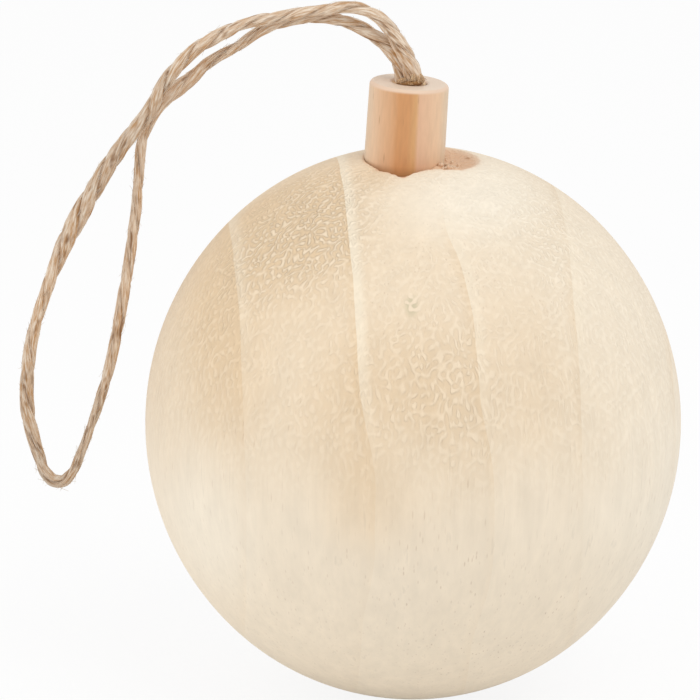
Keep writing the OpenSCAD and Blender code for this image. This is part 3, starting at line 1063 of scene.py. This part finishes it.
def beech():
    """Turned smooth and left raw: the cut is so clean that it has a soft shine, and no film lies on it."""
    material, tree = new_material("beech_turned")
    texture, place = object_place(tree)
    part = add(tree, "SeparateXYZ", {0: place})
    wander = grain_noise(tree, place, 1 / band_wander_size, band_wander_stretch)
    bend = add(tree, "Math", {0: wander, 1: band_wander, 2: part}, operation="MULTIPLY_ADD")
    shift = band_wander / 2
    share = add(tree, "MapRange", {"Value": bend, "From Min": shift - neck_r, "From Max": shift + neck_r})
    bands = add(tree, "ValToRGB", {0: share})
    ramp = bands.color_ramp.elements
    ramp[0].color = linear(grey_sapwood)
    ramp[1].color = linear(grey_sapwood)
    for where, band in wood_bands:
        ramp.new(where).color = linear(band)
    flecks = grain_noise(tree, place, 0.5 / fleck_width, fleck_stretch)
    limits = {"From Min": 0.3, "From Max": 0.7, "To Min": 0.955, "To Max": 1.04}
    shade = add(tree, "MapRange", {"Value": flecks, **limits})
    colour = add(tree, "VectorMath", {0: bands, "Scale": shade}, operation="SCALE")
    # Beech's rays, cut along their length, are thin dark lines a few millimetres long.
    rays = grain_ticks(tree, place, ray_gap, ray_stretch, edge=0.16, core=0.05, spared=0.2, depth=0.9)
    # The foot, where the socket's edge begins, is darkened partly by glue and dust and partly as painted shadow
    # of the socket's edge.
    limits = {"From Min": foot_top, "From Max": foot_dark, "To Max": 0.6}
    foot = add(tree, "MapRange", {"Value": part.outputs["Z"], **limits})
    # The rounded edge is painted lighter as a highlight, and the flat end is greyer.
    facing = add(tree, "SeparateXYZ", {0: texture.outputs["Normal"]}).outputs["Z"]
    edge = add(tree, "MapRange", {"Value": facing, "From Min": 0.1, "From Max": 0.5})
    end = add(tree, "MapRange", {"Value": facing, "From Min": 0.8, "From Max": 0.97})
    for share, over in ((rays, ray_brown), (foot, glue_and_shadow_brown), (edge, edge_highlight), (end, end_grain)):
        colour = add(tree, "Mix", {0: share, 6: colour, 7: over}, data_type="RGBA")
    relief = add(tree, "Bump", {"Height": flecks, "Strength": 0.3, "Distance": 0.06 * MM})
    surface = add(tree, "BsdfPrincipled", {
        "Base Color": colour, "Normal": relief, "Roughness": 0.5, "IOR": 1.5, "Specular IOR Level": 0.4,
    })
    add(tree, "OutputMaterial", {"Surface": surface})
    return material


leaning = Matrix.Translation(on_neck(0, 0, 0) * MM) @ Matrix.Rotation(neck_lean, 4, "Y")
neck = make_piece("beech_neck", neck_points, neck_faces, beech(), node="neck", place=leaning)

# %% [markdown]
# ## Floor and light
# The picture is a bright studio shot on white. A large soft lamp from the upper right gives the form, a
# weaker one stands low on the left, and an even white world fills the shadows. The camera sees the floor and
# the world as plain white, and the floor keeps a faint shadow so that the ball stands on something.

# %% Floor
floor_r = 1.6
floor_sides = 96
card_glow = 0.88


def shown_white(tree):
    """One for the rays that show the white background: the camera's, and those of glossy or clear things."""
    rays = add(tree, "LightPath")
    shown = rays.outputs["Is Camera Ray"]
    for kind in ("Is Glossy Ray", "Is Transmission Ray"):
        shown = add(tree, "Math", {0: shown, 1: rays.outputs[kind]}, operation="MAXIMUM")
    return shown


def white_card():
    """A matt paper sheet: it has no shine, and most of what the camera sees of it is plain white."""
    material, tree = new_material("white_card")
    card = add(tree, "BsdfDiffuse", {"Color": "#f4f4f4"})
    glow = add(tree, "Emission", {"Color": (1, 1, 1, 1), "Strength": 1.0})
    bright = add(tree, "Math", {0: shown_white(tree), 1: card_glow}, operation="MULTIPLY")
    mixed = add(tree, "MixShader", {0: bright, 1: card, 2: glow})
    add(tree, "OutputMaterial", {"Surface": mixed})
    return material


floor_mesh = bpy.data.meshes.new("floor")
floor_turns = full_turn(floor_sides)
floor_points = [(floor_r * math.cos(t), floor_r * math.sin(t), 0) for t in floor_turns]
floor_mesh.from_pydata(floor_points, [], [list(range(floor_sides))])
floor_mesh.materials.append(white_card())
floor = bpy.data.objects.new("floor", floor_mesh)
scene.collection.objects.link(floor)
print("floor:", 2 * floor_r, "m across")

# %% Lamps and world
lamp_size = 0.7
lamps = {
    "key": ([450, -500, 1050], 4.5),
    "fill": ([-850, -250, 350], 1.8),
}
world_fill = 0.73

for name, (lamp_place, power) in lamps.items():
    lamp_data = bpy.data.lights.new(name, "AREA")
    lamp_data.size = lamp_size
    lamp_data.energy = power
    lamp = bpy.data.objects.new(name, lamp_data)
    lamp.location = np.array(lamp_place) * MM
    lamp.rotation_euler = Vector(lamp_place - camera_aim).to_track_quat("Z", "Y").to_euler()
    scene.collection.objects.link(lamp)

world = bpy.data.worlds.new("studio")
scene.world = world
world.use_nodes = True
world.node_tree.nodes.clear()
fill = add(world.node_tree, "Background", {"Color": (1, 1, 1, 1), "Strength": world_fill})
white = add(world.node_tree, "Background", {"Color": (1, 1, 1, 1), "Strength": 1.0})
sky = add(world.node_tree, "MixShader", {0: shown_white(world.node_tree), 1: fill, 2: white})
add(world.node_tree, "OutputWorld", {"Surface": sky})
scene.view_settings.view_transform = "Standard"
print("lamps:", lamps, "world:", world_fill)
